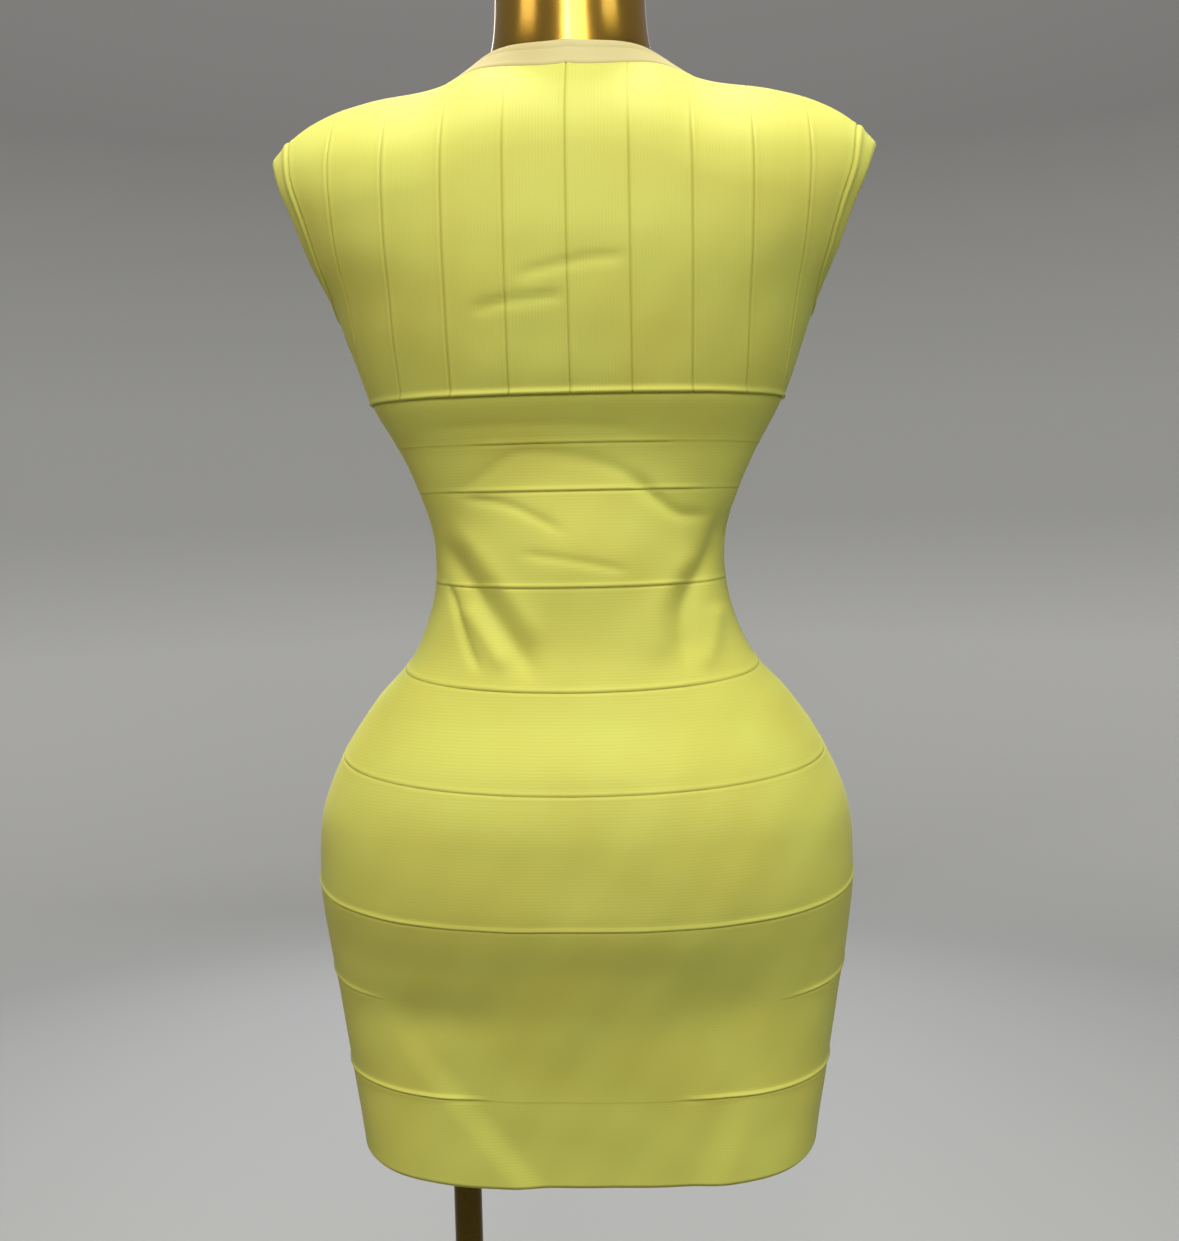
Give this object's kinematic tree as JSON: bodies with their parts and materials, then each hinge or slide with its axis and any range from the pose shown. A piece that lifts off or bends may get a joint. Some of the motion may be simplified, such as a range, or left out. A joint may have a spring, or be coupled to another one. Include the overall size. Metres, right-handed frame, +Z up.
{
  "type": "bodycon dress on limbless dress form",
  "caption": "Sleeveless knit bodycon mini dress of vertical bodice strips and horizontal bands, worn by a glossy limbless dress form on an off-centre pole with a round base.",
  "frame": {"origin": "centre of the base plate's underside, on the floor", "axes": "+Z up; the back of the dress faces -Y and its front +Y; +X is the wearer's right, which is on the right of someone looking at the back"},
  "size_m": [0.4464, 0.36, 1.5533],
  "materials": {
    "lime_knit": "dense flat bandage knit in lime yellow, satin-matt, fine horizontal ribs",
    "cream_knit": "the same knit in pale cream, matt",
    "gold_lacquer": "polished gold lacquer on the form's shell, smooth and mirror-like",
    "stand_metal": "dark bronze-gold plating on steel, satin gloss"
  },
  "bodies": {
    "root": {"back_strip_left_1": "lime_knit", "back_strip_left_2": "lime_knit", "back_strip_left_3": "lime_knit", "back_strip_left_4": "lime_knit", "back_strip_left_5": "lime_knit", "back_strip_right_1": "lime_knit", "back_strip_right_2": "lime_knit", "back_strip_right_3": "lime_knit", "back_strip_right_4": "lime_knit", "back_strip_right_5": "lime_knit", "front_strip_left_1": "lime_knit", "front_strip_left_2": "lime_knit", "front_strip_left_3": "lime_knit", "front_strip_left_4": "lime_knit", "front_strip_left_5": "lime_knit", "front_strip_right_1": "lime_knit", "front_strip_right_2": "lime_knit", "front_strip_right_3": "lime_knit", "front_strip_right_4": "lime_knit", "front_strip_right_5": "lime_knit", "back_band_1": "lime_knit", "back_band_2": "lime_knit", "back_band_3": "lime_knit", "back_band_4": "lime_knit", "back_band_5": "lime_knit", "back_band_6": "lime_knit", "back_band_7": "lime_knit", "back_band_8": "lime_knit", "back_band_9": "lime_knit", "front_band_1": "lime_knit", "front_band_2": "lime_knit", "front_band_3": "lime_knit", "front_band_4": "lime_knit", "front_band_5": "lime_knit", "front_band_6": "lime_knit", "front_band_7": "lime_knit", "front_band_8": "lime_knit", "front_band_9": "lime_knit", "armhole_binding_left": "lime_knit", "armhole_binding_right": "lime_knit", "neckband": "cream_knit", "form": "gold_lacquer", "neck_cap": "gold_lacquer", "pole_socket": "stand_metal", "pole": "stand_metal", "pole_foot": "stand_metal", "base_plate": "stand_metal"}
  },
  "joints": []
}
